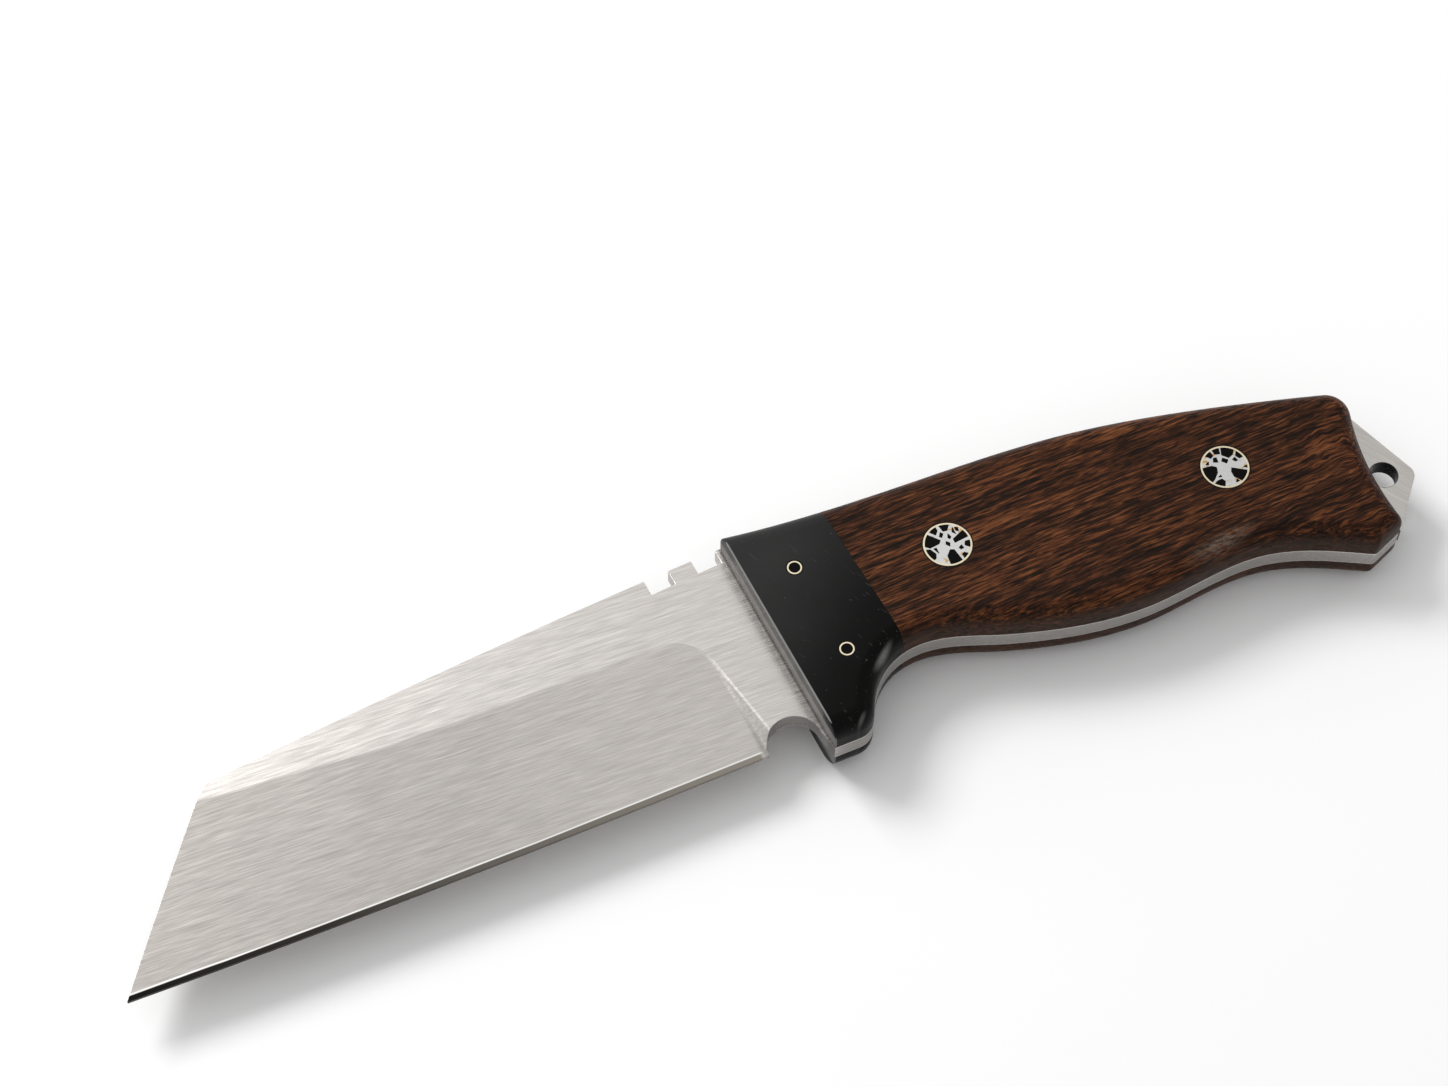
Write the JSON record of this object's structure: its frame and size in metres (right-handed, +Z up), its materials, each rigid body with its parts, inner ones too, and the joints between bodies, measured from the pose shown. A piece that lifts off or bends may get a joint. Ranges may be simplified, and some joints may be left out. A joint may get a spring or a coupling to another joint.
{
  "type": "full-tang belt knife",
  "caption": "Full-tang fixed-blade knife with an angled point, thumb notches, black bolsters, dark wooden scales, mosaic pins and a pointed pommel with a lanyard hole.",
  "frame": {"origin": "on the surface that the knife lies on, under the middle of its overall length and width", "axes": "+X along the knife from the point to the pommel, +Y across it from the cutting edge to the spine, +Z up through its thickness"},
  "size_m": [0.2222, 0.043, 0.0144],
  "materials": {
    "blade_steel": "satin, brushed lengthwise",
    "black_horn": "black horn, sanded fine and lightly polished",
    "dark_wood": "oiled dark hardwood, satin",
    "pin_brass": "sanded flush with the handle",
    "web_silver": "nickel silver, sanded flush",
    "black_resin": "cast resin, sanded flush"
  },
  "bodies": {
    "root": {"blade_and_tang": "blade_steel", "upper_bolster": "black_horn", "lower_bolster": "black_horn", "upper_scale": "dark_wood", "lower_scale": "dark_wood", "front_mosaic_tube": "pin_brass", "front_mosaic_web": "web_silver", "front_mosaic_resin": "black_resin", "rear_mosaic_tube": "pin_brass", "rear_mosaic_web": "web_silver", "rear_mosaic_resin": "black_resin", "back_pin_tube": "pin_brass", "back_pin_core": "black_resin", "guard_pin_tube": "pin_brass", "guard_pin_core": "black_resin"}
  },
  "joints": []
}
